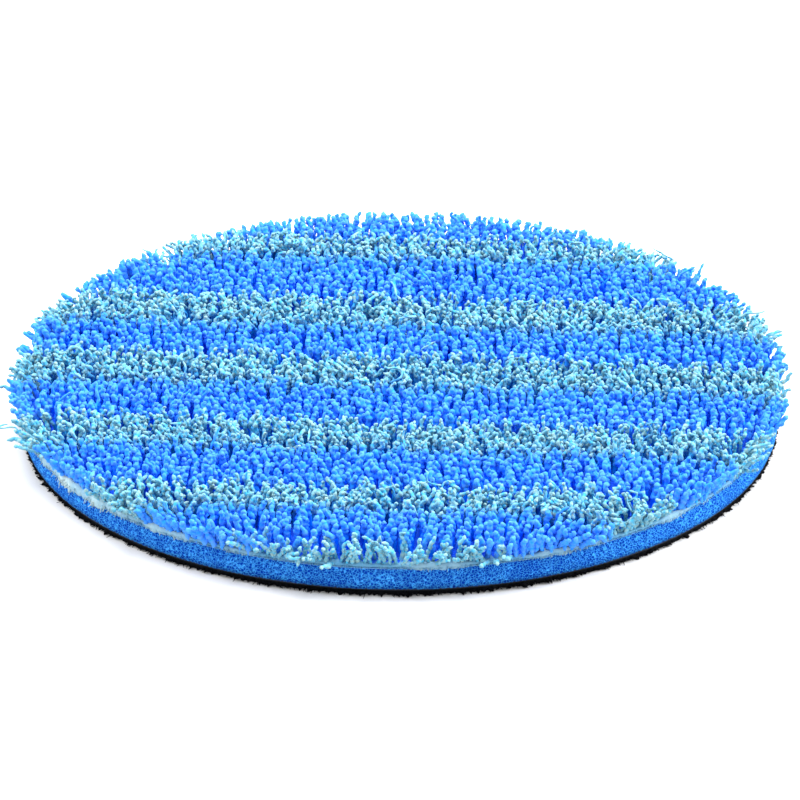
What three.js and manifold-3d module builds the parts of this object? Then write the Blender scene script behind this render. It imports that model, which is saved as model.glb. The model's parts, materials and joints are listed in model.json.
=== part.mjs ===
// Round microfibre polishing pad, in millimetres with +Z up.
//
// The pad lies on its loop backing with the pile up. From the bottom it is a laminate of a knitted
// loop fabric (what a hook-faced backing plate grips), a foam disc, and a cloth whose yarn pile is
// tufted in straight rows, in stripes of two yarns. The origin is the centre of the loop face, the
// face that the pad rests on, and the yarn rows run along X.

import * as THREE from "three";
import { mergeVertices } from "three/addons/utils/BufferGeometryUtils.js";
import Module from "manifold-3d";

const wasm = await Module();
wasm.setup();

// Diameters
const foamDiameter = 200;
const loopInset = 0.5; // the loop fabric is cut this far inside the foam's edge
const clothInset = 0.4; // and the pile cloth this far

// Thicknesses of the layers, from the loop face up
const loopPileHeight = 1.4;
const loopGroundThickness = 0.35;
const bondThickness = 0.15; // each of the two melted bond lines
const foamThickness = 5.7;
const baseClothThickness = 0.9;
const pileHeight = 8;

// Edges
const loopCornerRadius = 0.5; // the loops round off at the lower rim
const foamBulge = 0.35; // the die-cut wall of the foam swells between its pressed edges
const clothCornerRadius = 0.3;
const pileShoulderRadius = 5; // the outermost tufts fan out and round the pile off
const pileRootInset = 1.2; // the outermost tufts stand this far in from the cloth's edge

// Yarn rows in each stripe, from the +Y rim to the -Y rim, blue and grey in turn. The last grey
// stripe is the sliver where the disc's edge only just reaches the next stripe of the cloth.
const rowsInStripe = [7, 6, 11, 8, 8, 8, 9, 7, 9, 6, 6, 2];
const stripeGap = 0.3; // free space between neighbouring stripes' envelopes

// Facets
const roundSteps = 120; // around the pad
const cornerSteps = 4; // along a rounded edge

// Values that follow
const foamRadius = foamDiameter / 2;
const clothRadius = foamRadius - clothInset;
const rowCount = rowsInStripe.reduce((sum, rows) => sum + rows, 0);
const rowPitch = (2 * clothRadius) / rowCount;

const loopGroundBottom = loopPileHeight;
const loopBondBottom = loopGroundBottom + loopGroundThickness;
const foamBottom = loopBondBottom + bondThickness;
const clothBondBottom = foamBottom + foamThickness;
const baseClothBottom = clothBondBottom + bondThickness;
const pileBottom = baseClothBottom + baseClothThickness;
const pileTop = pileBottom + pileHeight;

const finishes = {
  blueYarn: { color: "#4f9be8", roughness: 0.85 },
  greyYarn: { color: "#a9c8cf", roughness: 0.85 },
  knitCloth: { color: "#8fb9dc", roughness: 0.9 },
  foam: { color: "#1b6fc4", roughness: 0.8 },
  bond: { color: "#c8d4dc", roughness: 0.6 },
  blackKnit: { color: "#101218", roughness: 0.9 },
};

const pad = new THREE.Group();

function addPiece(name, geometry, finish) {
  const material = new THREE.MeshStandardMaterial({ ...finishes[finish], metalness: 0 });
  const mesh = new THREE.Mesh(geometry, material);
  mesh.name = name;
  pad.add(mesh);
}

// A solid of revolution about Z from a half section. The section runs from the axis at the bottom,
// out along the wall and back to the axis at the top, so that its faces point outwards.
function revolve(halfSection) {
  const geometry = new THREE.LatheGeometry(halfSection, roundSteps);
  geometry.rotateX(Math.PI / 2);
  return geometry;
}

// Points along a quarter circle about (cx, cy), from one angle to another.
function arcPoints(cx, cy, radius, fromAngle, toAngle) {
  const points = [];
  for (let i = 0; i <= cornerSteps; i += 1) {
    const angle = fromAngle + ((toAngle - fromAngle) * i) / cornerSteps;
    points.push(new THREE.Vector2(cx + radius * Math.cos(angle), cy + radius * Math.sin(angle)));
  }
  return points;
}

// A flat disc of one layer, with the corners at its lower and upper rim rounded where asked.
function layerDisc({ radius, bottom, thickness, lowerCorner = 0, upperCorner = 0 }) {
  const top = bottom + thickness;
  const section = [new THREE.Vector2(0, bottom)];
  if (lowerCorner > 0) {
    const centreX = radius - lowerCorner;
    section.push(...arcPoints(centreX, bottom + lowerCorner, lowerCorner, -Math.PI / 2, 0));
  } else {
    section.push(new THREE.Vector2(radius, bottom));
  }
  if (upperCorner > 0) {
    const centreX = radius - upperCorner;
    section.push(...arcPoints(centreX, top - upperCorner, upperCorner, 0, Math.PI / 2));
  } else {
    section.push(new THREE.Vector2(radius, top));
  }
  section.push(new THREE.Vector2(0, top));
  return revolve(section);
}

// The foam disc: its lamination presses both rims, so the cut wall bulges a little between them.
function foamDisc() {
  const section = [new THREE.Vector2(0, foamBottom)];
  const wallSteps = 2 * cornerSteps;
  for (let i = 0; i <= wallSteps; i += 1) {
    const share = i / wallSteps;
    const radius = foamRadius - foamBulge * (1 - Math.sin(Math.PI * share));
    section.push(new THREE.Vector2(radius, foamBottom + foamThickness * share));
  }
  section.push(new THREE.Vector2(0, clothBondBottom));
  return revolve(section);
}

// The outer shape of the whole pile: upright tufts that fan out over the rim and round it off.
function pileEnvelope() {
  const section = [
    new THREE.Vector2(0, pileBottom),
    new THREE.Vector2(clothRadius - pileRootInset, pileBottom),
    new THREE.Vector2(foamRadius, pileBottom + pileRootInset),
  ];
  const shoulder = Math.min(pileShoulderRadius, pileHeight - 2 * pileRootInset);
  const arc = arcPoints(foamRadius - shoulder, pileTop - shoulder, shoulder, 0, Math.PI / 2);
  section.push(...arc);
  section.push(new THREE.Vector2(0, pileTop));
  return revolve(section);
}

function toSolid(geometry) {
  const bare = geometry.index ? geometry.toNonIndexed() : geometry.clone();
  bare.deleteAttribute("normal");
  bare.deleteAttribute("uv");
  const merged = mergeVertices(bare, 1e-5);
  const vertProperties = new Float32Array(merged.getAttribute("position").array);
  const triVerts = new Uint32Array(merged.getIndex().array);
  return new wasm.Manifold(new wasm.Mesh({ numProp: 3, vertProperties, triVerts }));
}

function toGeometry(solid) {
  const mesh = solid.getMesh();
  const geometry = new THREE.BufferGeometry();
  geometry.setAttribute("position", new THREE.BufferAttribute(mesh.vertProperties, 3));
  geometry.setIndex(new THREE.BufferAttribute(mesh.triVerts, 1));
  geometry.computeVertexNormals();
  return geometry;
}

// The slab of space that one stripe of rows fills, from rim to rim along X.
function stripeSlab(backY, frontY) {
  const length = 2 * foamDiameter;
  const height = 3 * pileHeight;
  const slab = new THREE.BoxGeometry(length, backY - frontY, height);
  slab.translate(0, (backY + frontY) / 2, pileBottom + pileHeight / 2);
  return slab;
}

// One node for each stripe: the envelope of its tufts, cut from the pile's outer shape.
function addPileStripes() {
  const envelope = toSolid(pileEnvelope());
  const last = rowsInStripe.length - 1;
  let backY = clothRadius;
  rowsInStripe.forEach((rows, i) => {
    const frontY = backY - rows * rowPitch;
    const slabBack = i === 0 ? foamDiameter : backY - stripeGap / 2;
    const slabFront = i === last ? -foamDiameter : frontY + stripeGap / 2;
    const stripe = envelope.intersect(toSolid(stripeSlab(slabBack, slabFront)));
    const yarn = i % 2 === 0 ? "blue" : "grey";
    const number = Math.floor(i / 2) + 1;
    addPiece(`${yarn}_pile_${number}`, toGeometry(stripe), `${yarn}Yarn`);
    backY = frontY;
  });
}

function addLoopFabric() {
  const radius = foamRadius - loopInset;
  const pile = { radius, bottom: 0, thickness: loopPileHeight, lowerCorner: loopCornerRadius };
  const ground = { radius, bottom: loopGroundBottom, thickness: loopGroundThickness };
  addPiece("loop_pile", layerDisc(pile), "blackKnit");
  addPiece("loop_ground_cloth", layerDisc(ground), "blackKnit");
}

// The bond lines reach only as far as the narrower of the two layers that they join.
function addBonds() {
  const pressedRim = foamRadius - foamBulge;
  const lowerRadius = Math.min(foamRadius - loopInset, pressedRim);
  const upperRadius = Math.min(clothRadius, pressedRim);
  const lower = { radius: lowerRadius, bottom: loopBondBottom, thickness: bondThickness };
  const upper = { radius: upperRadius, bottom: clothBondBottom, thickness: bondThickness };
  addPiece("loop_bond", layerDisc(lower), "bond");
  addPiece("cloth_bond", layerDisc(upper), "bond");
}

function addBaseCloth() {
  const corner = Math.min(clothCornerRadius, baseClothThickness / 2);
  const cloth = { radius: clothRadius, bottom: baseClothBottom, thickness: baseClothThickness };
  addPiece("base_cloth", layerDisc({ ...cloth, upperCorner: corner }), "knitCloth");
}

addLoopFabric();
addBonds();
addPiece("foam_disc", foamDisc(), "foam");
addBaseCloth();
addPileStripes();

export default pad;
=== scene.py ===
# %% [markdown]
# # A round microfibre polishing pad
#
# A machine polishing pad is a soft laminate: a knitted loop fabric that a backing plate grips, a
# disc of open-cell foam, and a cloth whose yarn pile does the work. The pile here is tufted in
# straight rows, in stripes of two yarns. The fixed frame gives every layer's place and size. This
# lesson replaces its plain solids, layer by layer, with the surfaces that such a pad really has:
# thousands of separate yarn tufts, a die-cut wall of foam cells, knitted cloth and fuzzy loops.

# %% Load the frame and read the layers' sizes
import json
import math

import bpy
import numpy as np
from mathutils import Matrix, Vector

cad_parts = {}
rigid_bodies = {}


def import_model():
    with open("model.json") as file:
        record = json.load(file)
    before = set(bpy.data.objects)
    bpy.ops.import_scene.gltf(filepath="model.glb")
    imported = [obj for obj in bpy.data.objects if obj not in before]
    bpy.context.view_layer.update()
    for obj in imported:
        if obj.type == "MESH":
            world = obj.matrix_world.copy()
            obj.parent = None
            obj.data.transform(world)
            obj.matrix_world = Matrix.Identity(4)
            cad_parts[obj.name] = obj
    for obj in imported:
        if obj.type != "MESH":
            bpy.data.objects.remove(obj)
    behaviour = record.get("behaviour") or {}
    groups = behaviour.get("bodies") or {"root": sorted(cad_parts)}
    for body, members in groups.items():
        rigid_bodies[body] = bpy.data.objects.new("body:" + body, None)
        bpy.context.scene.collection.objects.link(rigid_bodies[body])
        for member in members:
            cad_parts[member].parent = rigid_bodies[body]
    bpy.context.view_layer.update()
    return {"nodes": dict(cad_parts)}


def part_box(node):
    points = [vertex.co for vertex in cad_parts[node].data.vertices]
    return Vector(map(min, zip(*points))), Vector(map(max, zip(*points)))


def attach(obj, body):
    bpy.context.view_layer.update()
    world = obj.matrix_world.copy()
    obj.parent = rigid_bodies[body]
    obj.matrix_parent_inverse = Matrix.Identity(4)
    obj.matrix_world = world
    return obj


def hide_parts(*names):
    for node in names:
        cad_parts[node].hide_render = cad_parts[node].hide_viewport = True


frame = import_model()
MM = 0.001

foam_low, foam_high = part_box("foam_disc")
loop_low, loop_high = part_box("loop_pile")
_, cloth_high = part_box("base_cloth")
_, ground_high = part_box("loop_ground_cloth")
stripe_nodes = sorted(n for n in frame["nodes"] if n.startswith(("blue_pile_", "grey_pile_")))
print(f"{len(stripe_nodes)} stripes of pile on a pad {foam_high.x * 2 / MM:.0f} mm across")

# %% [markdown]
# ## Node trees as expressions
#
# Geometry and materials are both node trees. Wiring them by hand is long, so two small classes do
# it. `Sock` wraps an output, and Python's operators on it add the matching Math or Vector Math
# node. `Graph` makes any other node from its type, its settings and the values of its sockets.

# %% The wrapper for a socket
def join(tree, socket, value):
    """Links value to an input if it is a Sock, and sets it as the input's own value otherwise."""
    if isinstance(value, Sock):
        tree.links.new(value.socket, socket)
    elif socket.type == "VECTOR" and isinstance(value, (int, float)):
        socket.default_value = (value, value, value)
    elif socket.type == "RGBA" and len(value) == 3:
        socket.default_value = (*value, 1.0)
    else:
        socket.default_value = value


def maths(operation, *parts):
    """A Math node on its parts, or a Vector Math node where one of them is a vector."""
    tree = next(p.tree for p in parts if isinstance(p, Sock))
    vector = any(isinstance(p, tuple) or (isinstance(p, Sock) and p.is_vector()) for p in parts)
    node = tree.nodes.new("ShaderNodeVectorMath" if vector else "ShaderNodeMath")
    node.operation = operation
    for socket, part in zip(node.inputs, parts):
        join(tree, socket, part)
    as_value = not vector or operation in ("LENGTH", "DOT_PRODUCT", "DISTANCE")
    return Sock(node.outputs["Value" if as_value else "Vector"])


def operator(operation):
    """A Python operator that adds a node, and its reflected form, as in 1 - mask."""
    return (
        lambda self, other: maths(operation, self, other),
        lambda self, other: maths(operation, other, self),
    )


class Sock:
    """One output of a node, which can be added, multiplied and so on like a number."""

    def __init__(self, socket):
        self.socket = socket
        self.tree = socket.id_data

    def is_vector(self):
        return self.socket.type in ("VECTOR", "RGBA")

    __add__, __radd__ = operator("ADD")
    __sub__, __rsub__ = operator("SUBTRACT")
    __mul__, __rmul__ = operator("MULTIPLY")
    __truediv__, __rtruediv__ = operator("DIVIDE")
    __gt__, __lt__ = operator("GREATER_THAN")

    def __pow__(self, other):
        return maths("POWER", self, other)

    def at_most(self, other):
        return maths("MINIMUM", self, other)

    def at_least(self, other):
        return maths("MAXIMUM", self, other)


# %% The maker of nodes
def open_socket(sockets, name):
    """The socket in use that has this name, or the one at this number."""
    if isinstance(name, int):
        return sockets[name]
    return next(s for s in sockets if s.name == name and s.enabled)


class Graph:
    """Makes the nodes of one tree."""

    def __init__(self, tree):
        self.tree = tree

    def node(self, kind, settings=None, inputs=None):
        """Makes a node and returns a function that gives one of its outputs as a Sock."""
        made = self.tree.nodes.new(kind)
        for name, value in (settings or {}).items():
            setattr(made, name, value)
        for name, value in (inputs or {}).items():
            join(self.tree, open_socket(made.inputs, name), value)
        return lambda name=0: Sock(open_socket(made.outputs, name))

    def mix(self, factor, a, b):
        """The colour a where factor is 0, and b where it is 1."""
        values = {"Factor": factor, "A": a, "B": b}
        return self.node("ShaderNodeMix", {"data_type": "RGBA"}, values)("Result")

    def smooth(self, value, low, high):
        """A smooth step from 0 where value is low to 1 where it is high."""
        settings = {"interpolation_type": "SMOOTHSTEP"}
        values = {"Value": value, "From Min": low, "From Max": high}
        return self.node("ShaderNodeMapRange", settings, values)("Result")

    def vector(self, x, y, z):
        return self.node("ShaderNodeCombineXYZ", None, {"X": x, "Y": y, "Z": z})()

    def parts(self, vector):
        split = self.node("ShaderNodeSeparateXYZ", None, {"Vector": vector})
        return split("X"), split("Y"), split("Z")

    def radius(self, place):
        """How far a place is from the pad's axis."""
        x, y, _ = self.parts(place)
        return maths("SQRT", x * x + y * y).at_least(1 * MM)

    def outward(self, place):
        """The level direction that leads from the pad's axis to a place."""
        x, y, _ = self.parts(place)
        radius = self.radius(place)
        return self.vector(x / radius, y / radius, 0.0)

    def noise(self, place, scale, detail=2.0, output="Color", roughness=0.5):
        values = {"Vector": place, "Scale": scale, "Detail": detail, "Roughness": roughness}
        return self.node("ShaderNodeTexNoise", None, values)(output)

    def cells(self, place, scale, feature="DISTANCE_TO_EDGE", output="Distance"):
        values = {"Vector": place, "Scale": scale}
        return self.node("ShaderNodeTexVoronoi", {"feature": feature}, values)(output)


# %% [markdown]
# Geometry trees need a few more words: named inputs for their sizes, attributes that are stored
# at one stage and read at a later one, and random numbers with a seed. A finished tree is run on
# a carrier object, and its result is kept as a plain mesh, so that no modifier is left.

# %% Words for geometry trees
CELL_MARGIN = 0.06  # the empty border of a strand's cell on the flat map
STRAND_MAP_SHARE = 0.8  # strands leave the rest of their map to a mesh from the lathe
MAP_MARGIN = 0.01


class Shaper(Graph):
    """Makes the nodes of a geometry tree whose named inputs are listed by kind."""

    def __init__(self, name, inputs):
        super().__init__(bpy.data.node_groups.new(name, "GeometryNodeTree"))
        face = self.tree.interface
        face.new_socket("Geometry", in_out="OUTPUT", socket_type="NodeSocketGeometry")
        face.new_socket("Geometry", in_out="INPUT", socket_type="NodeSocketGeometry")
        for kind, labels in inputs.items():
            for label in labels:
                face.new_socket(label, in_out="INPUT", socket_type="NodeSocket" + kind)
        entry = self.tree.nodes.new("NodeGroupInput")
        self.given = {socket.name: Sock(socket) for socket in entry.outputs}
        self.base = self.given["Geometry"]

    def store(self, geometry, name, value, kind="FLOAT", domain="POINT"):
        settings = {"data_type": kind, "domain": domain}
        values = {"Geometry": geometry, "Name": name, "Value": value}
        return self.node("GeometryNodeStoreNamedAttribute", settings, values)()

    def forget(self, geometry, *names):
        for name in names:
            values = {"Geometry": geometry, "Name": name}
            geometry = self.node("GeometryNodeRemoveAttribute", None, values)()
        return geometry

    def read(self, name, kind="FLOAT"):
        return self.node("GeometryNodeInputNamedAttribute", {"data_type": kind}, {"Name": name})()

    def random(self, seed, low=0.0, high=1.0, kind="FLOAT"):
        values = {"Min": low, "Max": high, "Seed": seed}
        return self.node("FunctionNodeRandomValue", {"data_type": kind}, values)("Value")

    def scatter(self, seed):
        """A random vector between -1 and 1 on each axis."""
        return self.random(seed, (-1, -1, -1), (1, 1, 1), "FLOAT_VECTOR")

    def place(self):
        return self.node("GeometryNodeInputPosition")()

    def number(self):
        return self.node("GeometryNodeInputIndex")()

    def moved(self, geometry, position):
        values = {"Geometry": geometry, "Position": position}
        return self.node("GeometryNodeSetPosition", None, values)()

    def strands(self, points, rings):
        """A straight curve on every point, made real, which the next step bends."""
        line = self.node("GeometryNodeCurvePrimitiveLine", None, {"End": (0, 0, 1)})()
        line = self.node("GeometryNodeResampleCurve", None, {"Curve": line, "Count": rings})()
        laid = {"Points": points, "Instance": line}
        laid = self.node("GeometryNodeInstanceOnPoints", None, laid)()
        return self.node("GeometryNodeRealizeInstances", None, {"Geometry": laid})()

    def share(self):
        """How far along its own curve a point is, from 0 to 1."""
        return self.node("GeometryNodeSplineParameter")("Factor")

    def swept(self, strands, sides, girth):
        """A tube of that girth along each strand, which knows how far round each point is."""
        circle = {"Resolution": sides, "Radius": 1.0}
        section = self.node("GeometryNodeCurvePrimitiveCircle", None, circle)()
        section = self.store(section, "around", self.number() / sides)
        sweep = {"Curve": strands, "Profile Curve": section, "Scale": girth, "Fill Caps": True}
        return self.node("GeometryNodeCurveToMesh", None, sweep)()

    def cell_map(self, mesh, share_of_map=1.0):
        """Gives every strand a cell of its own on the flat map named OFBake."""
        strand = self.read("strand", "INT")
        count = {"Geometry": mesh, "Attribute": strand * 1.0}
        count = self.node("GeometryNodeAttributeStatistic", None, count)("Max") + 1
        across = maths("CEIL", maths("SQRT", count))
        around = self.read("around")
        middle = self.node("GeometryNodeFieldOnDomain", {"domain": "FACE"}, {"Value": around})()
        # A tube's last side ends at its first points, which count as a full turn there.
        seam = (around < 0.01) * (middle > 0.3)
        u = CELL_MARGIN + (1 - 2 * CELL_MARGIN) * (around + seam)
        v = CELL_MARGIN + (1 - 2 * CELL_MARGIN) * self.read("along")
        column = maths("FLOORED_MODULO", strand, across)
        line = maths("FLOOR", strand / across)
        spot = self.vector((column + u) / across, (line + v) / across * share_of_map, 0.0)
        return self.store(mesh, "OFBake", spot, "FLOAT2", "CORNER")

    def joined(self, *geometries):
        made = self.tree.nodes.new("GeometryNodeJoinGeometry")
        for geometry in geometries:
            self.tree.links.new(geometry.socket, made.inputs[0])
        return Sock(made.outputs[0])

    def finish(self, geometry, material):
        """Ends the tree in real, smooth geometry that wears its material."""
        real = self.node("GeometryNodeRealizeInstances", None, {"Geometry": geometry})()
        smooth = self.node("GeometryNodeSetShadeSmooth", None, {"Geometry": real})()
        worn = {"Geometry": smooth, "Material": material}
        done = self.node("GeometryNodeSetMaterial", None, worn)()
        leave = self.tree.nodes.new("NodeGroupOutput")
        self.tree.links.new(done.socket, leave.inputs["Geometry"])
        return self.tree


# %% Run a geometry tree and keep its mesh
def add_object(name, data):
    made = bpy.data.objects.new(name, data)
    bpy.context.scene.collection.objects.link(made)
    return made


def run_tree(name, tree, values, base=None):
    """Evaluates tree with these named values on a carrier object and returns a plain object."""
    carrier_mesh = base or bpy.data.meshes.new(name + "_carrier")
    carrier = add_object(name + "_carrier", carrier_mesh)
    modifier = carrier.modifiers.new("shape", "NODES")
    modifier.node_group = tree
    for item in tree.interface.items_tree:
        if item.in_out == "INPUT" and item.name in values:
            modifier[item.identifier] = values[item.name]
    depsgraph = bpy.context.evaluated_depsgraph_get()
    seen = carrier.evaluated_get(depsgraph)
    mesh = bpy.data.meshes.new_from_object(seen, preserve_all_data_layers=True, depsgraph=depsgraph)
    mesh.name = name
    piece = add_object(name, mesh)
    bpy.data.objects.remove(carrier)
    bpy.data.meshes.remove(carrier_mesh)
    triangles = sum(len(p.vertices) - 2 for p in mesh.polygons)
    print(f"{name}: {len(mesh.polygons)} faces, {triangles} triangles")
    return piece


# %% Words for materials
class Finish(Graph):
    """Makes the nodes of one material."""

    def __init__(self, name):
        self.material = bpy.data.materials.new(name)
        self.material.use_nodes = True
        self.material.node_tree.nodes.clear()
        super().__init__(self.material.node_tree)

    def read(self, name):
        return self.node("ShaderNodeAttribute", {"attribute_name": name})("Fac")

    def place(self):
        return self.node("ShaderNodeTexCoord")("Object")

    def finish(self, colour, roughness, specular=0.5, bump=None):
        """Ends in a Principled shader. A bump is a height, a distance and a strength."""
        surface = {"Base Color": colour, "Roughness": roughness, "Specular IOR Level": specular}
        if bump is not None:
            values = dict(zip(("Height", "Distance", "Strength"), bump))
            surface["Normal"] = self.node("ShaderNodeBump", None, values)()
        shader = self.node("ShaderNodeBsdfPrincipled", None, surface)()
        leave = self.tree.nodes.new("ShaderNodeOutputMaterial")
        self.tree.links.new(shader.socket, leave.inputs["Surface"])
        return self.material


print("helpers are ready")

# %% [markdown]
# ## The yarn's colours
#
# Each tuft carries four numbers on its mesh: how far along the yarn a point is, how near it is to
# the crest of a lump, how open the pile is round it, and a tone of its own. The material reads
# them. The crests wear the yarn's own pale colours. Between the lumps and down in the pile the
# colour is painted shade, deeper and bluer, and less of it is painted where the pile is open.
# Small knobs of fibre break up each lump: they are a cell pattern that the colour and the bump
# share, and in the colour their borders are painted shade. The grey yarn is spun from creamy and
# from blue fibres.

# %% Yarn materials
def yarn_material(name, root, groove_shade, crests, mottle, knob_scale):
    g = Finish(name)
    along, crest, tone = g.read("along"), g.read("crest"), g.read("tone")
    openness = g.read("open")
    place = g.place()
    fibres = g.noise(place, 2600, 2.0, "Fac", 0.6)
    knobs = 1 - g.cells(place, knob_scale, "F1", "Distance")
    blobs = g.smooth(g.noise(place, 450, 1.0, "Fac"), 0.36, 0.64)
    patches = g.noise(place, 110, 2.0, "Fac")
    which = tone * (1 - mottle) + blobs * mottle + (patches - 0.5) * 0.7
    pale = g.mix(which, crests[0], crests[1])
    height = crest * 0.5 + knobs * 0.55 + (fibres - 0.5) * 0.25
    # Painted shade: the groove colour fills the necks between the lumps and the knobs' borders.
    upper = g.mix(g.smooth(height, 0.22, 0.85), groove_shade, pale)
    # Painted shade: down in the pile the colour turns to the root colour, less so where the pile is
    # open.
    colour = g.mix(g.smooth(along + openness * 0.9, 0.35, 0.88), root, upper)
    colour = colour * (0.97 + (fibres - 0.5) * 0.16 + (tone - 0.5) * 0.12)
    bump = (knobs + fibres * 0.35, 0.32 * MM, 0.75)
    return g.finish(colour, 0.90 + fibres * 0.10, specular=0.03, bump=bump)


blue_yarn = yarn_material(
    "blue_yarn",
    # The root and groove colours are painted shade, deeper and bluer than the crests.
    root=(0.001, 0.20, 0.94),
    groove_shade=(0.022, 0.26, 0.90),
    crests=((0.054, 0.246, 0.77), (0.080, 0.258, 0.74)),
    mottle=0.4,
    knob_scale=850,
)
grey_yarn = yarn_material(
    "grey_yarn",
    # The root and groove colours are painted shade, deeper and bluer than the crests.
    root=(0.002, 0.20, 0.62),
    groove_shade=(0.042, 0.34, 0.58),
    crests=((0.152, 0.365, 0.47), (0.248, 0.392, 0.390)),
    mottle=0.7,
    knob_scale=1000,
)
print("two yarns")

# %% [markdown]
# ## The pile
#
# A tuft is a short length of twisted yarn that is rooted in the cloth and stands up from it. It
# could be modelled once and copied, but then thousands of tufts would bend alike. Geometry Nodes
# give each one its own centreline instead: a line is instanced on every root and made real, each
# of its points is moved by a few fields, and a section is swept along the result. Low noise leans
# whole patches together, random numbers spread the tufts and their lengths, and near the rim they
# fan out. The yarn is two soft plies twisted round each other, so that it looks like a string of
# round lumps that sit now on one side and now on the other. One tube with a section that swells
# at each lump, and a centreline that swings a little, gives this with half the faces of two.

# %% Roots of one stripe
TUFT_INPUTS = {
    "Int": ["Rows", "Seed"],
    "Float": [
        "Row Pitch", "Tuft Pitch", "Stripe Centre", "Root Height", "Root Radius", "Edge Catch",
        "Stagger", "Yarn Length", "Short Tufts", "Yarn Radius", "Lump Pitch", "Lump Depth",
        "Swing", "Spread", "Clumping", "Curl", "Kinks", "Rim Fan", "Rim Width", "Stray Share",
    ],
    "Material": ["Yarn"],
}
TUFT_RINGS = 17
TUFT_SIDES = 5
UPPER_SHARE = 0.52  # the rings are crowded into this much of a tuft, where it shows
RIM_SHARE = 0.80  # and into this much of one on the rim
EDGE_JITTER = 1.1 * MM  # roots that are pulled in to the edge lie this unevenly


def rooted_points(s):
    """Tuft roots in staggered rows, jittered. Those just past the cut edge are pulled in to it."""
    given = s.given
    columns = maths("CEIL", given["Root Radius"] * 2 / given["Tuft Pitch"]) + 2
    grid = {
        "Size X": (columns - 1) * given["Tuft Pitch"],
        "Size Y": (given["Rows"] - 1) * given["Row Pitch"],
        "Vertices X": columns,
        "Vertices Y": given["Rows"],
    }
    points = s.node("GeometryNodeMeshGrid", None, grid)("Mesh")
    x, y, _ = s.parts(s.place())
    row = maths("ROUND", y / given["Row Pitch"] + given["Rows"] * 0.5)
    stagger = (maths("FLOORED_MODULO", row, 2) - 0.5) * given["Tuft Pitch"] * given["Stagger"]
    jitter = s.scatter(given["Seed"]) * (1, 1, 0) * (given["Tuft Pitch"] * 0.16)
    rooted = s.vector(x + stagger, y + given["Stripe Centre"], given["Root Height"]) + jitter
    points = s.moved(points, rooted)
    radius = s.radius(s.place())
    outside = radius > given["Root Radius"] + given["Edge Catch"]
    points = s.node("GeometryNodeDeleteGeometry", None, {"Geometry": points, "Selection": outside})()
    kept = given["Root Radius"] - s.random(given["Seed"] + 9, 0.0, EDGE_JITTER)
    pulled = radius.at_most(kept) / radius
    x, y, z = s.parts(s.place())
    return s.moved(points, s.vector(x * pulled, y * pulled, z))


# %% Each tuft's own facts
RIM_TRIM = 0.14  # tufts on the rim are this much shorter
STRAY_LENGTH = 1.22  # a stray end is this many times as long as the yarn
STRAY_THINNING = 0.45


def tuft_facts(s, points):
    """Stores on each root what its tuft will need: number, tone, length, girth and lean."""
    given = s.given
    seed = given["Seed"]
    stray = s.random(seed + 1) < given["Stray Share"]
    place = s.place()
    rim_from = given["Root Radius"] - given["Rim Width"]
    rim = s.smooth(s.radius(place), rim_from, given["Root Radius"])
    patch = (s.noise(place, 75.0, 1.0) - 0.5) * (1, 1, 0) * given["Clumping"]
    own = s.scatter(seed + 2) * (1, 1, 0) * (given["Spread"] * (1 + rim))
    lean = patch * (2 + rim) + own + s.outward(place) * (rim * given["Rim Fan"])
    lean = lean / maths("LENGTH", lean).at_least(1.0)
    short = given["Short Tufts"] * (1 - rim * 0.6)
    cut = 1 - short * s.random(seed + 3) ** 1.6
    length = given["Yarn Length"] * cut * (1 - rim * RIM_TRIM)
    length = length * (1 - stray) + given["Yarn Length"] * stray * STRAY_LENGTH
    girth = given["Yarn Radius"] * s.random(seed + 4, 0.85, 1.15) * (1 - stray * STRAY_THINNING)
    points = s.store(points, "tone", s.random(seed + 5))
    points = s.store(points, "stray", stray)
    points = s.store(points, "root", place, "FLOAT_VECTOR")
    points = s.store(points, "lean", lean, "FLOAT_VECTOR")
    points = s.store(points, "length", length)
    points = s.store(points, "girth", girth)
    points = s.store(points, "open", rim)
    points = s.store(points, "shown", UPPER_SHARE + (RIM_SHARE - UPPER_SHARE) * rim)
    return s.store(points, "strand", s.number(), "INT")


# %% Bend the tufts and sweep them
def bent_tufts(s, points):
    """A strand on every root, which leans, curls and swings along its length."""
    given = s.given
    strands = s.strands(points, TUFT_RINGS)
    upper = 1 - (1 - s.share()) * (s.read("shown") * (TUFT_RINGS / (TUFT_RINGS - 1)))
    strands = s.store(strands, "along", upper * (s.share() > 0.001))
    along, length = s.read("along"), s.read("length")
    root, lean = s.read("root", "FLOAT_VECTOR"), s.read("lean", "FLOAT_VECTOR")
    tilt = maths("LENGTH", lean)
    rise = maths("SQRT", (1 - tilt * tilt * 0.92).at_least(0.02))
    bend = s.noise(root * 900 + s.vector(0, 0, along * given["Kinks"]), 1.0, 1.0) - 0.5
    curl = bend * (given["Curl"] * (1 + s.read("stray") * 1.4)) * (2, 2, 0.8)
    spot = root + lean * (length * along ** 1.45) + curl * (length * along)
    spot = spot + s.vector(0, 0, length * along * rise)
    pitch = given["Lump Pitch"] * (0.85 + 0.3 * s.read("tone"))
    phase = ((1 - along) * length / pitch + 0.3) * math.pi
    strands = s.store(strands, "crest", maths("ABSOLUTE", maths("SINE", phase)))
    turn = phase + s.read("tone") * 40
    swing = s.vector(maths("COSINE", turn), maths("SINE", turn), 0.0) * (given["Swing"] * along)
    return s.moved(strands, spot + swing)


def lumpy_yarn(s, strands):
    """Sweeps a section along the strands that swells at each lump and is rounded at the tip."""
    along, length, girth = s.read("along"), s.read("length"), s.read("girth")
    from_tip = ((1 - along) * length / girth).at_most(1.0)
    round_tip = maths("SQRT", (1 - (1 - from_tip) ** 2).at_least(0.12))
    depth = s.given["Lump Depth"] * (1 + s.read("open") * 0.4)
    swell = 1 - depth * (1 - s.read("crest"))
    tufts = s.swept(strands, TUFT_SIDES, girth * swell * round_tip)
    ruffle = (s.noise(s.place(), 1150, 1.0) - 0.5) * (girth * 1.15)
    return s.moved(tufts, s.place() + ruffle)


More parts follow.
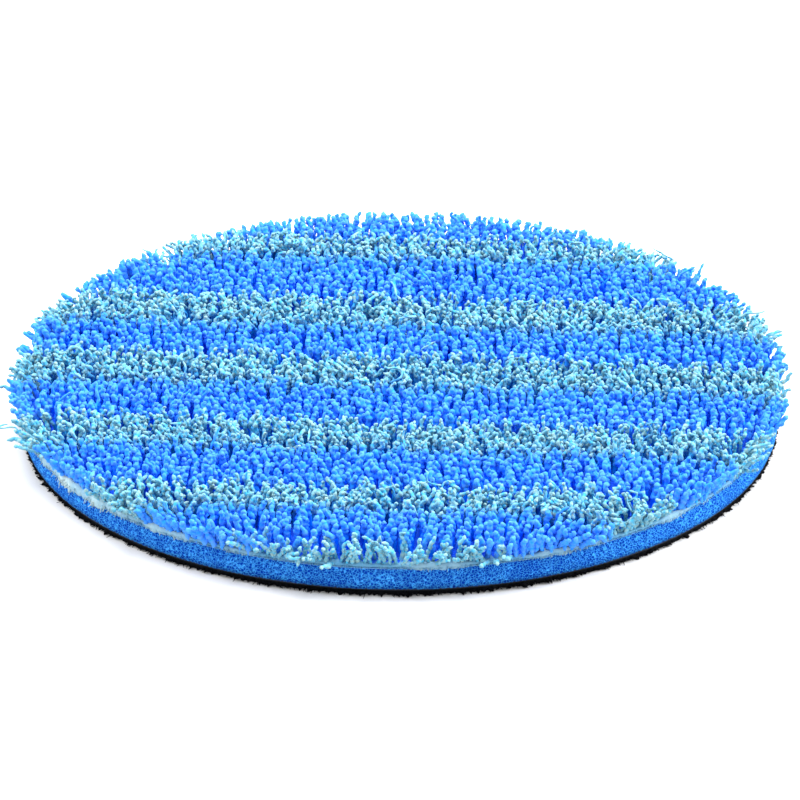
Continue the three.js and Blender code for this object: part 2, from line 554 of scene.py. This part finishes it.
def tuft_tree():
    s = Shaper("yarn_tufts", TUFT_INPUTS)
    strands = bent_tufts(s, tuft_facts(s, rooted_points(s)))
    tufts = s.cell_map(lumpy_yarn(s, strands))
    tufts = s.forget(tufts, "stray", "root", "lean", "length", "girth", "shown", "strand")
    return s.finish(tufts, s.given["Yarn"])


yarn_tufts = tuft_tree()
print("tree for tufts:", len(yarn_tufts.nodes), "nodes")

# %% [markdown]
# The blue yarn is thick and nearly upright. The grey yarn is thinner, closer set and far more
# curled, so its stripes look ruffled. Every stripe is one piece, and it stands for the plain solid
# of that stripe in the frame.

# %% Tuft every stripe
ROW_PITCH = 2.29 * MM
YARNS = {
    "blue": {
        "Yarn": blue_yarn, "Yarn Length": 8.6 * MM, "Yarn Radius": 0.82 * MM,
        "Tuft Pitch": 2.4 * MM, "Stagger": 0.08, "Short Tufts": 0.24, "Stray Share": 0.02,
        "Lump Pitch": 1.45 * MM, "Lump Depth": 0.32, "Swing": 0.22 * MM,
        "Spread": 0.16, "Clumping": 0.30, "Curl": 0.20, "Kinks": 1.6,
    },
    "grey": {
        "Yarn": grey_yarn, "Yarn Length": 9.0 * MM, "Yarn Radius": 0.60 * MM,
        "Tuft Pitch": 1.6 * MM, "Stagger": 0.5, "Short Tufts": 0.34, "Stray Share": 0.01,
        "Lump Pitch": 1.2 * MM, "Lump Depth": 0.36, "Swing": 0.24 * MM,
        "Spread": 0.26, "Clumping": 0.45, "Curl": 0.34, "Kinks": 3.0,
    },
}


def tuft_stripe(node, seed):
    low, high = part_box(node)
    yarn = node.split("_")[0]
    width = high.y - low.y
    rows = max(2, round(width / ROW_PITCH))
    values = {
        **YARNS[yarn],
        "Rows": rows,
        "Row Pitch": width / rows,
        "Stripe Centre": (low.y + high.y) / 2,
        "Root Height": cloth_high.z - 0.5 * MM,
        "Root Radius": cloth_high.x + 0.05 * MM,
        "Edge Catch": 3.0 * MM,
        "Rim Fan": 0.36,
        "Rim Width": 8 * MM,
        "Seed": seed,
    }
    piece = run_tree(node.replace("pile", "tufts"), yarn_tufts, values)
    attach(piece, "root")
    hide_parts(node)
    yarn + "_yarn"
    return piece


stripes = [tuft_stripe(node, 100 * i + 7) for i, node in enumerate(stripe_nodes)]
print(f"{len(stripes)} stripes tufted")

# %% [markdown]
# ## Round layers
#
# The foam and the cloths are discs. A half section is turned round the axis, as on a lathe, into a
# closed mesh that is fine where it shows. A flat map is made with it: the wall is cut into strips
# that lie one over the other, and the flat faces lie beside them.

# %% Turn a half section
LOWER_FACE, UPPER_FACE = (0.25, 0.25), (0.75, 0.25)  # middles of the flat faces on the map
FACE_RADIUS = 0.23
WALL_STRIPS = 10  # the wall's strips fill the upper half of the map


def turned(name, section, steps, wall):
    """A closed mesh from (radius, height) pairs. Segments wall[0] to wall[1] - 1 are its wall."""
    section = np.array(section)
    count = len(section)
    angles = 2 * np.pi * np.arange(steps) / steps
    ring = np.stack([np.cos(angles), np.sin(angles)], axis=1)
    flat = (section[:, None, :1] * ring[None]).reshape(-1, 2)
    heights = np.repeat(section[:, 1], steps)[:, None]
    poles = [[0, 0, section[0, 1]], [0, 0, section[-1, 1]]]
    points = np.vstack([np.hstack([flat, heights]), poles])
    here = np.arange(steps)
    ahead = (here + 1) % steps
    lengths = np.concatenate([[0], np.cumsum(np.linalg.norm(np.diff(section, axis=0), axis=1))])
    wall_low, wall_high = lengths[wall[0]], lengths[wall[1]]

    def wall_spots(k):
        per_strip = steps / WALL_STRIPS
        strip = here[:, None] // per_strip
        across = np.stack([here, here + 1, here + 1, here], axis=1) - strip * per_strip
        up = (lengths[[k, k, k + 1, k + 1]] - wall_low) / (wall_high - wall_low)
        u = 0.02 + 0.96 * across / per_strip
        v = 0.5 + 0.5 * (strip + 0.05 + 0.9 * up[None]) / WALL_STRIPS
        return np.stack([u, v], axis=2).reshape(-1, 2)

    def face_spots(corners, middle):
        reach = section[:, 0].max()
        return points[corners][:, :, :2].reshape(-1, 2) / reach * FACE_RADIUS + middle

    faces, spots = [], []
    for k in range(count - 1):
        low, high = k * steps, (k + 1) * steps
        quads = np.stack([low + here, low + ahead, high + ahead, high + here], axis=1)
        faces += quads.tolist()
        on_wall = wall[0] <= k < wall[1]
        middle = LOWER_FACE if k < wall[0] else UPPER_FACE
        spots.append(wall_spots(k) if on_wall else face_spots(quads, middle))
    bottom = (0, ahead, here, count * steps, LOWER_FACE)
    top = ((count - 1) * steps, here, ahead, count * steps + 1, UPPER_FACE)
    for start, first, second, pole, middle in (bottom, top):
        fan = np.stack([start + first, start + second, np.full(steps, pole)], axis=1)
        faces += fan.tolist()
        spots.append(face_spots(fan, middle))
    mesh = bpy.data.meshes.new(name)
    mesh.from_pydata(points.tolist(), [], faces)
    mesh.uv_layers.new(name="OFBake").data.foreach_set("uv", np.vstack(spots).ravel())
    mesh.update()
    return mesh


print("lathe is ready")

# %% [markdown]
# ## The foam
#
# Open-cell foam is a mesh of struts round bubbles a good half millimetre wide. Cutting it with a
# die leaves a wall of open bubbles with the struts' ends standing. Every bubble could be cut from
# a solid, but that takes minutes, and a cell pattern gives the same wall: the Voronoi texture's
# distance to the nearest border is small on a strut and large in the middle of a bubble, and the
# wall's fine mesh sinks by it. The colour and the bump read the same pattern, so they line up.

# %% Foam material
CELLS_PER_METRE = 1400
CELL_WARP = 0.35 * MM  # how far noise bends the cells' borders
# Painted shade: the foam wall is painted darker towards its bottom, next to the black fabric.
SHADED_HEIGHT = 1.6 * MM  # the wall is darker up to here, next to the black fabric


def cell_borders(graph, place):
    """The distance to the nearest border of a cell, for the finish and for the shape."""
    bent = place + (graph.noise(place, 900, 2.0) - 0.5) * CELL_WARP
    return graph.cells(bent, CELLS_PER_METRE)


def foam_material():
    g = Finish("blue_foam")
    place = g.place()
    strut = 1 - g.smooth(cell_borders(g, place), -0.02, 0.12)
    drift = g.noise(place, 160, 3.0, "Fac")
    _, _, height = g.parts(place)
    # Painted shade: this mask is 0 at the wall's bottom, where the foam is painted darker, and 1
    # above it.
    out_of_shade = g.smooth(height, foam_low.z, foam_low.z + SHADED_HEIGHT)
    # Painted shade: the open bubbles' pits are painted dark, the struts between them bright.
    pit = g.mix(drift, (0.0001, 0.026, 0.27), (0.0003, 0.052, 0.38))
    strand = g.mix(drift, (0.036, 0.30, 0.86), (0.070, 0.42, 0.90))
    colour = g.mix(strut, pit, strand) * (0.62 + 0.38 * out_of_shade)
    bump = (strut, 0.3 * MM, 0.6)
    return g.finish(colour, 0.75 + strut * 0.1, specular=0.03, bump=bump)


blue_foam = foam_material()
print("foam material")

# %% Foam disc
FOAM_STEPS = 3000
FOAM_RINGS = 28
FOAM_BULGE = 0.35 * MM
CELL_DEPTH = 0.30 * MM
WALL_SAG = 0.5 * MM


def foam_section():
    """Up the die-cut wall, which swells between its pinched rims, and in along both faces."""
    low, high, radius = foam_low.z, foam_high.z, foam_high.x
    wall = []
    for i in range(FOAM_RINGS + 1):
        share = i / FOAM_RINGS
        out = radius - FOAM_BULGE * (1 - math.sin(math.pi * share))
        wall.append((out, low + (high - low) * share))
    inner = radius - 3 * MM
    return [(inner, low)] + wall + [(inner, high)]


def foam_tree():
    s = Shaper("open_cells", {"Float": ["Cell Depth", "Wall Radius"], "Material": ["Foam"]})
    place = s.place()
    pit = s.smooth(cell_borders(s, place), 0.03, 0.32)
    near_wall = s.radius(place) > s.given["Wall Radius"]
    sag = (s.noise(place, 60, 2.0, "Fac") - 0.5) * WALL_SAG
    sunk = place - s.outward(place) * ((pit * s.given["Cell Depth"] - sag) * near_wall)
    return s.finish(s.moved(s.base, sunk), s.given["Foam"])


section = foam_section()
foam_base = turned("foam_base", section, FOAM_STEPS, (1, len(section) - 2))
foam_values = {
    "Cell Depth": CELL_DEPTH,
    "Wall Radius": foam_high.x - 1.0 * MM,
    "Foam": blue_foam,
}
foam_wall = run_tree("die_cut_foam", foam_tree(), foam_values, foam_base)
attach(foam_wall, "root")
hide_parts("foam_disc")
print("foam disc with open cells")

# %% [markdown]
# ## The pile's cloth
#
# The yarn is rooted in a knitted base cloth. It only shows between the tufts, where it lies in
# deep blue shade, and at its cut edge, where the hot knife has fused it with the last row of pile
# into a pale, wavy band. So the mesh is fine at the edge, and noise bends the band.

# %% Base cloth
def knit_material(name, ground, edge, radius, ribs):
    """Knitted cloth with ribs of stitches, and another colour on its cut edge."""
    g = Finish(name)
    place = g.place()
    x, y, _ = g.parts(place)
    wale = maths("SINE", x * (2 * math.pi * ribs))
    course = maths("SINE", y * (2 * math.pi * ribs * 1.3) + wale * 1.4)
    stitch = wale * 0.5 + course * 0.5
    fibres = g.noise(place, 2200, 3.0, "Fac", 0.7)
    wear_off = g.noise(place, 420, 3.0, "Fac")
    worn_radius = g.radius(place) + (wear_off - 0.5) * (2 * MM)
    rim = g.smooth(worn_radius, radius - 1.6 * MM, radius - 0.4 * MM)
    body = g.mix(stitch * 0.5 + 0.5, ground[0], ground[1])
    fused = g.mix(wear_off, edge[0], edge[1])
    colour = g.mix(rim, body, fused) * (0.75 + fibres * 0.5)
    bump = (stitch * 0.4 + fibres, 0.15 * MM, 0.7)
    return g.finish(colour, 0.8 + fibres * 0.15, specular=0.2, bump=bump)


base_knit = knit_material(
    "base_knit",
    ground=((0.002, 0.06, 0.50), (0.006, 0.10, 0.70)),
    edge=((0.03, 0.15, 0.38), (0.11, 0.25, 0.38)),
    radius=cloth_high.x,
    ribs=700,
)
CLOTH_STEPS = 1200
FACE_RINGS = (0.25, 0.5, 0.75, 0.93, 0.98)


def cloth_section(low, high, corner):
    """Out along the underside, round the cut edge, and in along the top."""
    radius = high.x
    section = [(radius * share, low.z) for share in FACE_RINGS]
    wall_from = len(section)
    section.append((radius - corner, low.z))
    middle = (low.z + high.z) / 2
    half = (high.z - low.z) / 2
    for i in range(1, 8):
        angle = math.pi * (i / 8 - 0.5)
        section.append((radius - corner * (1 - math.cos(angle)), middle + half * math.sin(angle)))
    section.append((radius - corner, high.z))
    wall_to = len(section) - 1
    section += [(radius * share, high.z) for share in reversed(FACE_RINGS)]
    return section, (wall_from, wall_to)


def cloth_tree():
    s = Shaper("cut_edge", {"Float": ["Edge Radius", "Edge Wave"], "Material": ["Cloth"]})
    place = s.place()
    edge = s.smooth(s.radius(place), s.given["Edge Radius"] - 3 * MM, s.given["Edge Radius"])
    wave = (s.noise(place, 210, 3.0) - 0.5) * (s.given["Edge Wave"] * 2)
    beads = (s.noise(place, 1100, 1.0) - 0.5) * s.given["Edge Wave"]
    return s.finish(s.moved(s.base, place + (wave + beads) * edge), s.given["Cloth"])


cut_edge = cloth_tree()


def round_cloth(name, node, knit, corner, wave):
    """A knitted disc with a wavy cut edge, for a plain one of the frame."""
    low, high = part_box(node)
    section, wall = cloth_section(low, high, corner)
    base = turned(name + "_base", section, CLOTH_STEPS, wall)
    values = {"Edge Radius": high.x, "Edge Wave": wave, "Cloth": knit}
    cloth = run_tree(name, cut_edge, values, base)
    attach(cloth, "root")
    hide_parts(node)
    print(f"{name}, cut {2 * high.x / MM:.1f} mm across")
    return cloth


pile_cloth = round_cloth(
    "pile_cloth", "base_cloth", base_knit, corner=0.3 * MM, wave=0.40 * MM
)

# %% [markdown]
# The cut leaves fine ends of yarn all along the rim. Where they have frayed most they are matted
# into a creamy felt that hangs a little way over the foam. The felt is a ring from the lathe that
# swells where it is matted. The loose ends are strands again, only finer than the tufts: each
# starts on a random spot of the rim, runs outwards and droops. Patches of noise decide how far
# the edge has frayed, and one side of the pad is given more wear than the rest.

# %% Frayed ends on the cut edge
FRAY_INPUTS = {
    "Int": ["Ends", "Seed"],
    "Float": ["Radius", "Height", "Wall Radius", "Reach", "Droop", "Fibre Radius"],
    "Vector": ["Worn Side"],
    "Material": ["Fibre"],
}


def fray_material():
    g = Finish("frayed_ends")
    place = g.place()
    tone, matted = g.read("tone"), g.read("matted")
    fibres = g.noise(place, 2400, 2.0, "Fac", 0.7)
    fresh = g.mix(tone, (0.03, 0.17, 0.36), (0.14, 0.30, 0.40))
    worn = g.mix(tone, (0.17, 0.33, 0.42), (0.42, 0.50, 0.49))
    colour = g.mix(matted, fresh, worn) * (0.8 + fibres * 0.4)
    bump = (fibres, 0.08 * MM, 0.6)
    return g.finish(colour, 0.85 + fibres * 0.1, specular=0.08, bump=bump)


def round_points(s, count, inner, outer, height, seed):
    """Points spread evenly over a ring between two radii."""
    points = s.node("GeometryNodePoints", None, {"Count": count})()
    angle = s.random(seed, 0.0, 2 * math.pi)
    share = s.random(seed + 1)
    out = maths("SQRT", inner * inner + share * (outer * outer - inner * inner))
    spot = s.vector(maths("COSINE", angle) * out, maths("SINE", angle) * out, height)
    points = s.moved(points, spot)
    points = s.store(points, "root", s.place(), "FLOAT_VECTOR")
    points = s.store(points, "pull", s.scatter(seed + 3), "FLOAT_VECTOR")
    return s.store(points, "tone", s.random(seed + 2))


def matting(s, place):
    """How matted the fibre is at a place: in patches all round, and over one worn side."""
    worn = s.smooth(maths("DOT_PRODUCT", s.outward(place), s.given["Worn Side"]), 0.84, 0.97)
    patch = s.smooth(s.noise(place * (1, 1, 0), 75, 2.0, "Fac"), 0.46, 0.66)
    return (patch * 0.40 + worn * (0.55 + 0.45 * patch)).at_most(1.0)


def felted_ring(s):
    """The ring under the loose ends. Where they are matted it swells and hangs over the edge."""
    given = s.given
    place = s.place()
    ring = s.store(s.base, "matted", matting(s, place))
    ring = s.store(ring, "tone", s.noise(place, 700, 2.0, "Fac"))
    lumps = s.noise(place, 420, 3.0, "Fac")
    near_edge = s.smooth(s.radius(place), given["Radius"] - 1.2 * MM, given["Radius"])
    swell = near_edge * s.read("matted")
    swell = swell * (lumps * 2.6 - 0.55).at_least(0.0) * given["Reach"]
    _, _, z = s.parts(place)
    lift = ((z - given["Height"]) / (0.25 * MM) + 0.2).at_least(-1.0).at_most(0.7)
    rough = (s.noise(place, 1300, 3.0) - 0.5) * (1.0 * MM)
    swollen = s.outward(place) * (swell * 0.40) + s.vector(0, 0, swell * lift)
    return s.moved(ring, place + swollen + rough)


def fray_tree():
    s = Shaper("frayed_edge", FRAY_INPUTS)
    given, seed = s.given, s.given["Seed"]
    inner, rim = given["Radius"] - 1.8 * MM, given["Radius"]
    points = round_points(s, given["Ends"], inner, rim, given["Height"], seed)
    points = s.store(points, "strand", s.number(), "INT")
    matted = matting(s, s.place())
    points = s.store(points, "matted", matted)
    points = s.store(points, "reach", (0.30 + 0.70 * matted) * s.random(seed + 4, 0.5))
    strands = s.store(s.strands(points, 5), "along", s.share())
    along, reach = s.read("along"), s.read("reach") * given["Reach"]
    root, pull = s.read("root", "FLOAT_VECTOR"), s.read("pull", "FLOAT_VECTOR")
    bend = s.noise(root * 1500 + s.vector(0, 0, along * 2.0), 1.0, 1.0) - 0.5
    way = s.outward(root) * 0.7 + pull * (0.8, 0.8, 0.35) + bend * 1.6
    droop = s.vector(0, 0, along * along * reach * given["Droop"])
    spot = root + way * along * reach - droop
    _, _, z = s.parts(spot)
    below = z < given["Height"] - 0.5 * MM
    clear = (given["Wall Radius"] * below - s.radius(spot)).at_least(0.0)
    strands = s.moved(strands, spot + s.outward(spot) * clear)
    ends = s.swept(strands, 3, given["Fibre Radius"] * (1.1 - along * 0.5))
    ends = s.joined(s.cell_map(ends, STRAND_MAP_SHARE), felted_ring(s))
    ends = s.forget(ends, "root", "pull", "reach", "strand")
    return s.finish(ends, given["Fibre"])


def beside_strands(mesh):
    """Moves a lathed mesh's map into the strip that the piece's strands leave free."""
    low, high = STRAND_MAP_SHARE + MAP_MARGIN, 1 - MAP_MARGIN
    spots = np.empty(len(mesh.loops) * 2, dtype=np.float32)
    mesh.uv_layers[0].data.foreach_get("uv", spots)
    spots[1::2] = low + (high - low) * spots[1::2]
    mesh.uv_layers[0].data.foreach_set("uv", spots)
    return mesh


def felt_base(radius, height):
    """The smooth ring that felted_ring swells, whose flat faces are hidden inside the cloth."""
    edge = [(0.10, -0.50), (0.30, -0.35), (0.35, -0.10), (0.20, 0.15), (-0.30, 0.25)]
    edge = [(radius + out * MM, height + up * MM) for out, up in edge]
    section = [(radius * 0.97, height - 0.45 * MM), *edge, (radius * 0.97, height - 0.15 * MM)]
    return beside_strands(turned("felt_base", section, 1200, (1, 5)))


WORN_SIDE = math.radians(208)  # anticlockwise from +X, seen from above
fray_values = {
    "Radius": cloth_high.x,
    "Height": cloth_high.z,
    "Wall Radius": foam_high.x + 0.25 * MM,
    "Ends": 6000,
    "Reach": 2.1 * MM,
    "Droop": 0.9,
    "Fibre Radius": 0.19 * MM,
    "Worn Side": (math.cos(WORN_SIDE), math.sin(WORN_SIDE), 0.0),
    "Seed": 23,
    "Fibre": fray_material(),
}
felt = felt_base(cloth_high.x, cloth_high.z)
frayed_ends = run_tree("cut_edge_fibres", fray_tree(), fray_values, felt)
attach(frayed_ends, "root")
print("frayed ends on the cut edge")

# %% [markdown]
# ## The loop fabric
#
# Under the foam is the soft half of a hook-and-loop pair: a thin black ground cloth, knitted full
# of fine loops. Its ground is made like the pile's cloth. Most loops are so matted that no single
# one can be seen, so a rough disc from the lathe stands for their mass. Strands are added where
# they show: arcs that hang down all over the underside, and along the cut edge a fringe of ends
# that the die has cut open, which is longer on the -Y side.

# %% Ground cloth of the loops
black_knit = knit_material(
    "black_knit",
    ground=((0.0015, 0.002, 0.003), (0.005, 0.006, 0.009)),
    edge=((0.002, 0.003, 0.005), (0.006, 0.008, 0.012)),
    radius=ground_high.x,
    ribs=800,
)
loop_ground = round_cloth(
    "loop_ground", "loop_ground_cloth", black_knit, corner=0.12 * MM, wave=0.1 * MM
)

# %% Black yarn of the loops
def loop_material():
    g = Finish("black_loops")
    place = g.place()
    fibres = g.noise(place, 3000, 2.0, "Fac", 0.7)
    tone = g.read("tone")
    colour = g.mix(tone, (0.001, 0.0012, 0.002), (0.004, 0.0045, 0.0065)) * (0.7 + fibres * 0.6)
    bump = (fibres, 0.08 * MM, 0.6)
    return g.finish(colour, 0.7 + fibres * 0.2, specular=0.05, bump=bump)


black_loops = loop_material()
print("black yarn")

# %% Tree of the loops and the fringe
FLOOR_GAP = 0.03 * MM
LOOP_INPUTS = {
    "Int": ["Loops", "Fringe Ends", "Seed"],
    "Float": ["Radius", "Ground Height", "Loop Span", "Fringe Reach", "Fibre Radius"],
    "Material": ["Fibre"],
}


def hanging_loops(s):
    """Arcs that hang from the ground cloth and come back to it."""
    given, seed = s.given, s.given["Seed"]
    height = given["Ground Height"]
    points = round_points(s, given["Loops"], 0.0, given["Radius"], height, seed)
    points = s.store(points, "strand", s.number(), "INT")
    strands = s.store(s.strands(points, 6), "along", s.share())
    along = s.read("along")
    pull = s.read("pull", "FLOAT_VECTOR")
    across = pull * (1, 1, 0)
    arc = along * (1 - along) * 4
    swing = maths("SINE", along * (2 * math.pi)) * 0.25
    side = maths("CROSS_PRODUCT", across, (0, 0, 1))
    spot = s.read("root", "FLOAT_VECTOR") + across * ((along - 0.5) * given["Loop Span"])
    spot = spot + side * (swing * given["Loop Span"])
    hang = height - given["Fibre Radius"] * 2.2
    return s.moved(strands, spot - s.vector(0, 0, arc * hang)), given["Fibre Radius"] * 1.6


def fringe_reach(s, outward):
    """How far the fringe sticks out in a direction: it is longest on the -Y side."""
    _, side, _ = s.parts(outward)
    return s.given["Fringe Reach"] * (0.5 - side * 0.7).at_least(0.35)


def cut_fringe(s):
    """Ends that stick out of the cut edge in all directions, but not below the pad."""
    given, seed = s.given, s.given["Seed"] + 50
    inner = given["Radius"] - 1.2 * MM
    height = given["Ground Height"] * 0.6
    points = round_points(s, given["Fringe Ends"], inner, given["Radius"], height, seed)
    points = s.store(points, "strand", s.number() + given["Loops"], "INT")
    wild = s.random(seed + 4) ** 1.5
    reach = fringe_reach(s, s.outward(s.place()))
    points = s.store(points, "length", reach * (0.3 + wild * 0.7))
    strands = s.store(s.strands(points, 4), "along", s.share())
    along = s.read("along")
    root = s.read("root", "FLOAT_VECTOR")
    way = s.outward(root) * 0.9 + s.read("pull", "FLOAT_VECTOR") * 0.6
    bend = (s.noise(root * 2000 + s.vector(0, 0, along * 2.5), 1.0, 1.0) - 0.5) * 1.4
    spot = root + (way * along + bend * along) * s.read("length")
    x, y, z = s.parts(spot)
    z = z.at_least(given["Fibre Radius"] * 1.1).at_most(given["Ground Height"])
    return s.moved(strands, s.vector(x, y, z)), given["Fibre Radius"] * (1.4 - along * 0.9)


def spiky_core(s):
    """The mass of loops, roughened, with noise that throws spikes out of its edge."""
    place, radius = s.place(), s.given["Radius"]
    outward = s.outward(place)
    spikes = s.smooth(s.noise(place, 1300, 2.0, "Fac"), 0.48, 0.72)
    spikes = spikes * s.smooth(s.radius(place), radius - 1.0 * MM, radius - 0.4 * MM)
    spikes = outward * (spikes * fringe_reach(s, outward) * 1.1)
    rough = (s.noise(place, 1100, 2.0) - 0.5) * (1.2 * MM)
    x, y, z = s.parts(place + spikes + rough)
    z = z.at_least(FLOOR_GAP).at_most(s.given["Ground Height"])
    return s.moved(s.base, s.vector(x, y, z))


def loop_tree():
    s = Shaper("grip_loops", LOOP_INPUTS)
    loops, loop_girth = hanging_loops(s)
    fringe, fringe_girth = cut_fringe(s)
    fibres = s.joined(s.swept(loops, 3, loop_girth), s.swept(fringe, 3, fringe_girth))
    made = s.joined(s.cell_map(fibres, STRAND_MAP_SHARE), spiky_core(s))
    return s.finish(s.forget(made, "root", "pull", "length", "strand"), s.given["Fibre"])


def loop_core():
    """The mass of loops behind the fringe, inside which no single loop can be seen."""
    radius = loop_high.x - 0.20 * MM
    low, high = loop_low.z + 0.22 * MM, loop_high.z
    edge = [(radius - 0.3 * MM, low), (radius, low + 0.3 * MM), (radius, high)]
    bottom = [(radius * share, low) for share in (0.2, 0.4, 0.6, 0.8, 0.95)]
    section = bottom + edge + [(radius * 0.9, high)]
    return beside_strands(turned("loop_core", section, 1440, (len(bottom), len(bottom) + 2)))


loop_values = {
    "Radius": loop_high.x - 0.1 * MM,
    "Ground Height": loop_high.z,
    "Loops": 2200,
    "Loop Span": 2.6 * MM,
    "Fringe Ends": 5000,
    "Fringe Reach": 1.35 * MM,
    "Fibre Radius": 0.12 * MM,
    "Seed": 41,
    "Fibre": black_loops,
}
grip_loops = run_tree("grip_loops", loop_tree(), loop_values, loop_core())
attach(grip_loops, "root")
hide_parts("loop_pile")
print("loops and fringe")

# %% [markdown]
# ## The bond lines
#
# Each fabric is flame- or film-bonded to the foam. The two melted films are so thin that the
# frame's own discs are right as they are, and they only need their finish: a slightly milky,
# mottled plastic, pale over the foam and dark under it, next to the black fabric.

# %% Bond films
def film_material(name, dark, light):
    g = Finish(name)
    place = g.place()
    mottle = g.noise(place, 350, 4.0, "Fac", 0.6)
    grain = g.noise(place, 2500, 2.0, "Fac")
    colour = g.mix(mottle, dark, light) * (0.85 + grain * 0.3)
    bump = (mottle + grain * 0.3, 0.05 * MM, 0.5)
    return g.finish(colour, 0.35 + mottle * 0.3, specular=0.4, bump=bump)


def finish_film(node, material):
    film = bpy.data.objects[node]
    film.data.materials.clear()
    film.data.materials.append(material)


finish_film("cloth_bond", film_material("pale_film", (0.05, 0.20, 0.50), (0.14, 0.34, 0.62)))
finish_film("loop_bond", film_material("dark_film", (0.004, 0.010, 0.030), (0.012, 0.025, 0.07)))
print("two bond films")

# %% [markdown]
# ## Floor, light and camera
#
# The pad lies on a plain pale floor. A large soft box at the right gives the pile its direction
# and lights the foam's wall on that side; a wide one overhead and a weak one at the left keep the
# gaps between the tufts open.

# %% Floor
FLOOR_WIDTH = 16.0
FLOOR_GREY = (0.58, 0.58, 0.58)


def make_floor():
    mesh = bpy.data.meshes.new("floor")
    half = FLOOR_WIDTH / 2
    corners = [(-half, -half, 0), (half, -half, 0), (half, half, 0), (-half, half, 0)]
    mesh.from_pydata(corners, [], [(0, 1, 2, 3)])
    mesh.materials.append(Finish("pale_floor").finish(FLOOR_GREY, roughness=0.9))
    floor = add_object("floor", mesh)


make_floor()
print("floor")

# %% Light
BOX_DISTANCE = 2.5
STUDIO_STRENGTH = 1.45


def stand(name, data, azimuth, elevation, distance, aim=(0, 0, 0)):
    """Stands a light or a camera off from its aim and turns it back. Azimuth 0 is towards +X."""
    turn, lift = math.radians(azimuth), math.radians(elevation)
    level = math.cos(lift)
    way = Vector((math.cos(turn) * level, math.sin(turn) * level, math.sin(lift)))
    made = add_object(name, data)
    made.location = Vector(aim) + way * distance
    made.rotation_euler = (-way).to_track_quat("-Z", "Y").to_euler()
    return made


def soft_box(name, azimuth, elevation, size, brightness):
    """A round soft box, whose brightness is what it gives the pad."""
    data = bpy.data.lights.new(name, "AREA")
    data.shape = "DISK"
    data.size = size
    data.energy = brightness * math.pi * 4 * BOX_DISTANCE ** 2
    stand(name, data, azimuth, elevation, BOX_DISTANCE)


soft_box("key_right", azimuth=12, elevation=32, size=1.6, brightness=1.50)
soft_box("overhead", azimuth=90, elevation=78, size=2.2, brightness=1.10)
soft_box("fill_left", azimuth=172, elevation=30, size=1.6, brightness=0.75)
world = bpy.data.worlds.new("studio")
world.use_nodes = True
background = world.node_tree.nodes["Background"]
background.inputs["Color"].default_value = (1, 1, 1, 1)
background.inputs["Strength"].default_value = STUDIO_STRENGTH
bpy.context.scene.world = world
bpy.context.scene.view_settings.view_transform = "Standard"
print("three soft boxes and a pale studio")

# %% Camera
AZIMUTH = -86.6
ELEVATION = 26.0
DISTANCE = 1.6
LENS = 271
SENSOR_WIDTH = 36
AIM = (-0.4 * MM, 8.3 * MM, foam_low.z)

optics = bpy.data.cameras.new("camera")
optics.lens = LENS
optics.sensor_width = SENSOR_WIDTH
camera = stand("camera", optics, AZIMUTH, ELEVATION, DISTANCE, AIM)
bpy.context.scene.camera = camera
print(f"camera {DISTANCE} m away, {ELEVATION:.0f} degrees up")
